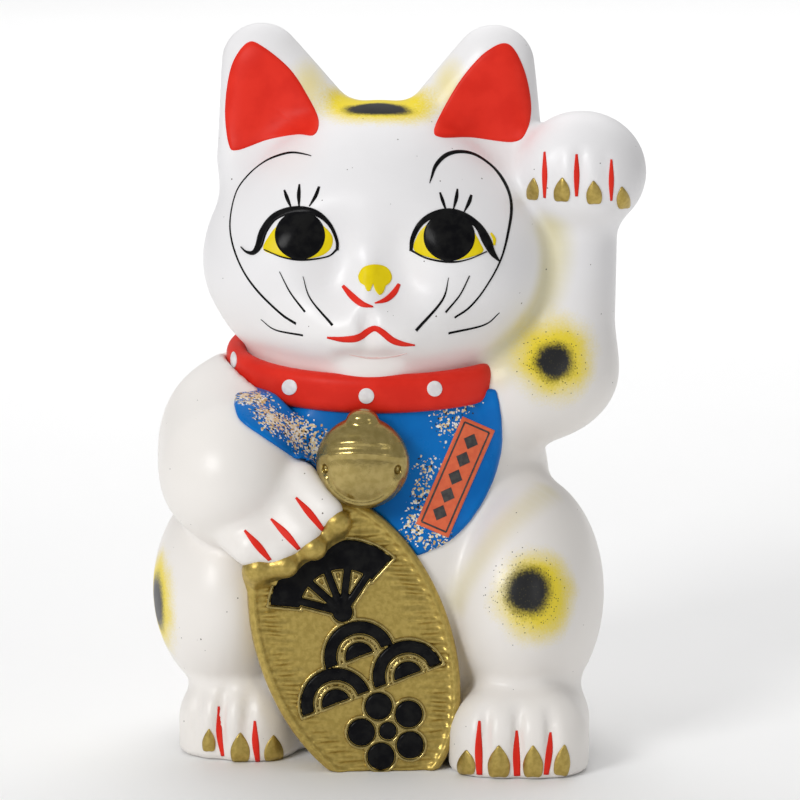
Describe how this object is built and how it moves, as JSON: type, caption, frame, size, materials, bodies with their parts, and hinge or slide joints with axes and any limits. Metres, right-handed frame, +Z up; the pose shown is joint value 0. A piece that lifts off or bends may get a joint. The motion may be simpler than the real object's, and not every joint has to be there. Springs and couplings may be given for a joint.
{
  "type": "beckoning cat coin bank",
  "caption": "Seated ceramic beckoning cat with one raised paw, a gold oval coin, bell and bib, hollow as a coin bank with a slot behind and a bung below.",
  "frame": {"origin": "middle of the whole figure's bounding box in plan, on the face that it stands on", "axes": "+Z up, the cat faces -Y, +X is the cat's left side with the raised paw"},
  "size_m": [0.1683, 0.1462, 0.2433],
  "materials": {
    "white_glaze": "gloss white glaze with airbrushed yellow and black spots",
    "gold_koban": "hand-brushed gold over glaze, hammered look",
    "black_relief": "gloss black enamel on raised relief",
    "red_glaze": "gloss red enamel",
    "white_slip": "raised white slip dots",
    "blue_glaze": "gloss blue enamel with gold and silver glitter",
    "label_paper": "orange printed paper, satin",
    "gold_bell": "burnished gold lustre",
    "soft_bung": "soft translucent white, matte"
  },
  "bodies": {
    "figure": {"body_shell": "white_glaze", "head_shell": "white_glaze", "raised_arm": "white_glaze", "resting_arm": "white_glaze", "tail": "white_glaze", "koban_coin": "gold_koban", "koban_motifs": "black_relief", "collar": "red_glaze", "collar_dots": "white_slip", "bib": "blue_glaze", "label_sticker": "label_paper", "bell": "gold_bell"},
    "bung": {"coin_bung": "soft_bung"}
  },
  "joints": [
    {"name": "bung_pull", "type": "slide", "parent": "figure", "child": "bung", "axis": [0, 0, -1], "range_m": [0, 0.025]}
  ]
}
